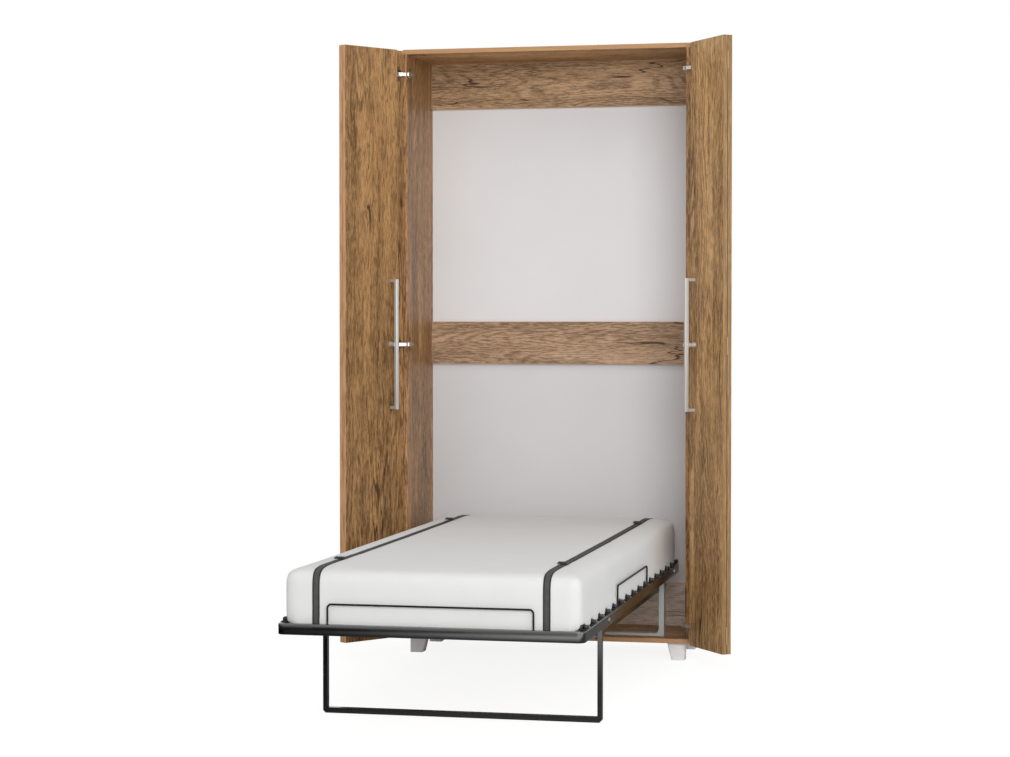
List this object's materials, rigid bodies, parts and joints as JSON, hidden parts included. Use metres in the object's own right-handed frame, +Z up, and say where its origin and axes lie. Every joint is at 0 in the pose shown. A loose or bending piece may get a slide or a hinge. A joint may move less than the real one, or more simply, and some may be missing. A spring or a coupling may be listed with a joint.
{
  "type": "cabinet bed",
  "caption": "Vertical single wall bed: oak-look cabinet with folding door pairs and a black steel mattress frame on a folding leg that swings up into it.",
  "frame": {"origin": "floor under the middle of the opened bed's overall box", "axes": "+Z up, +Y towards the wall, +X to the right of a person who faces the cabinet"},
  "size_m": [1.4078, 2.105, 2.209],
  "materials": {
    "oak_board": "oak-pattern laminated board, matt",
    "back_sheet": "painted hardboard, matt",
    "foot_plastic": "light grey moulded plastic",
    "steel_screw": "zinc-plated steel",
    "support_steel": "grey powder coat",
    "frame_steel": "black powder coat, satin",
    "leg_steel": "dark grey steel profile",
    "hinge_chrome": "nickel-plated steel",
    "handle_metal": "satin",
    "black_plastic": "moulded",
    "slat_wood": "laminated beech",
    "mattress_cover": "knitted cover on foam",
    "strap_webbing": "woven polyester webbing",
    "nylon": "natural",
    "spring_barrel": "black enamel",
    "spring_rod": "polished"
  },
  "bodies": {
    "cabinet": {"side_panel_left": "oak_board", "side_panel_right": "oak_board", "top_panel": "oak_board", "bottom_panel": "oak_board", "lower_rail": "oak_board", "middle_rail": "oak_board", "upper_rail": "oak_board", "back_sheet_lower": "back_sheet", "back_sheet_upper": "back_sheet", "front_foot_left": "foot_plastic", "front_foot_right": "foot_plastic", "rear_foot_left": "foot_plastic", "rear_foot_right": "foot_plastic", "case_screws": "steel_screw", "support_bolts": "steel_screw", "support_base": "support_steel", "support_upright_left": "support_steel", "support_upright_right": "support_steel", "pivot_axles": "steel_screw", "link_bolts": "steel_screw", "hinge_arms_left": "hinge_chrome", "hinge_arms_right": "hinge_chrome"},
    "bed": {"side_rail_left": "frame_steel", "side_rail_right": "frame_steel", "foot_bar": "frame_steel", "head_bar": "frame_steel", "cross_bar": "frame_steel", "rail_end_caps": "black_plastic", "slats": "slat_wood", "slat_holders": "black_plastic", "foot_wire": "frame_steel", "side_wire_left": "frame_steel", "side_wire_right": "frame_steel", "mattress": "mattress_cover", "straps": "strap_webbing", "strap_sliders": "steel_screw", "pivot_bushings": "nylon", "leg_pivot_bolts": "steel_screw"},
    "leg": {"leg_upright_left": "leg_steel", "leg_upright_right": "leg_steel", "leg_foot_bar": "leg_steel", "leg_link_bolts": "steel_screw"},
    "link_left": {"link_left": "frame_steel"},
    "link_right": {"link_right": "frame_steel"},
    "spring_left": {"gas_cylinder_left": "spring_barrel"},
    "rod_left": {"gas_rod_left": "spring_rod"},
    "spring_right": {"gas_cylinder_right": "spring_barrel"},
    "rod_right": {"gas_rod_right": "spring_rod"},
    "door_left": {"hinged_leaf_left": "oak_board", "hinge_cups_left": "hinge_chrome", "fold_hinges_left": "hinge_chrome"},
    "door_fold_left": {"folding_leaf_left": "oak_board", "fold_hinge_flaps_left": "hinge_chrome", "handle_left": "handle_metal"},
    "door_right": {"hinged_leaf_right": "oak_board", "hinge_cups_right": "hinge_chrome", "fold_hinges_right": "hinge_chrome"},
    "door_fold_right": {"folding_leaf_right": "oak_board", "fold_hinge_flaps_right": "hinge_chrome", "handle_right": "handle_metal"}
  },
  "joints": [
    {"name": "bed_tilt", "type": "hinge", "parent": "cabinet", "child": "bed", "pos_m": [0, 0.7505, 0.313], "axis": [-1, 0, 0], "range_deg": [0, 90]},
    {"name": "leg_fold", "type": "hinge", "parent": "bed", "child": "leg", "pos_m": [0, -0.6385, 0.313], "axis": [1, 0, 0], "range_deg": [0, 84]},
    {"name": "link_swing_left", "type": "hinge", "parent": "cabinet", "child": "link_left", "pos_m": [-0.404, 0.7505, 0.262], "axis": [-1, 0, 0], "range_deg": [0, 90]},
    {"name": "link_swing_right", "type": "hinge", "parent": "cabinet", "child": "link_right", "pos_m": [0.404, 0.7505, 0.262], "axis": [-1, 0, 0], "range_deg": [0, 90]},
    {"name": "spring_swing_left", "type": "hinge", "parent": "cabinet", "child": "spring_left", "pos_m": [-0.384, 0.7505, 0.262], "axis": [-1, 0, 0], "range_deg": [0, 84]},
    {"name": "rod_slide_left", "type": "slide", "parent": "spring_left", "child": "rod_left", "axis": [0, -0.9955, 0.0946], "range_m": [0, 0.0505]},
    {"name": "spring_swing_right", "type": "hinge", "parent": "cabinet", "child": "spring_right", "pos_m": [0.384, 0.7505, 0.262], "axis": [-1, 0, 0], "range_deg": [0, 84]},
    {"name": "rod_slide_right", "type": "slide", "parent": "spring_right", "child": "rod_right", "axis": [0, -0.9955, 0.0946], "range_m": [0, 0.0505]},
    {"name": "door_swing_left", "type": "hinge", "parent": "cabinet", "child": "door_left", "pos_m": [-0.53, 0.659, 1.134], "axis": [0, 0, 1], "range_deg": [0, 40]},
    {"name": "door_unfold_left", "type": "hinge", "parent": "door_left", "child": "door_fold_left", "pos_m": [-0.69102, 0.4238, 1.134], "axis": [0, 0, -1], "range_deg": [0, 30]},
    {"name": "door_swing_right", "type": "hinge", "parent": "cabinet", "child": "door_right", "pos_m": [0.53, 0.659, 1.134], "axis": [0, 0, -1], "range_deg": [0, 40]},
    {"name": "door_unfold_right", "type": "hinge", "parent": "door_right", "child": "door_fold_right", "pos_m": [0.69102, 0.4238, 1.134], "axis": [0, 0, 1], "range_deg": [0, 30]}
  ],
  "couplings": [
    {"joint": "leg_fold", "follows": "bed_tilt", "ratio": 0.93332},
    {"joint": "link_swing_left", "follows": "bed_tilt", "ratio": 0.99757},
    {"joint": "link_swing_right", "follows": "bed_tilt", "ratio": 0.99757},
    {"joint": "spring_swing_left", "follows": "bed_tilt", "ratio": 0.92136},
    {"joint": "rod_slide_left", "follows": "bed_tilt", "m_per_rad": 0.03144},
    {"joint": "spring_swing_right", "follows": "bed_tilt", "ratio": 0.92136},
    {"joint": "rod_slide_right", "follows": "bed_tilt", "m_per_rad": 0.03144}
  ]
}
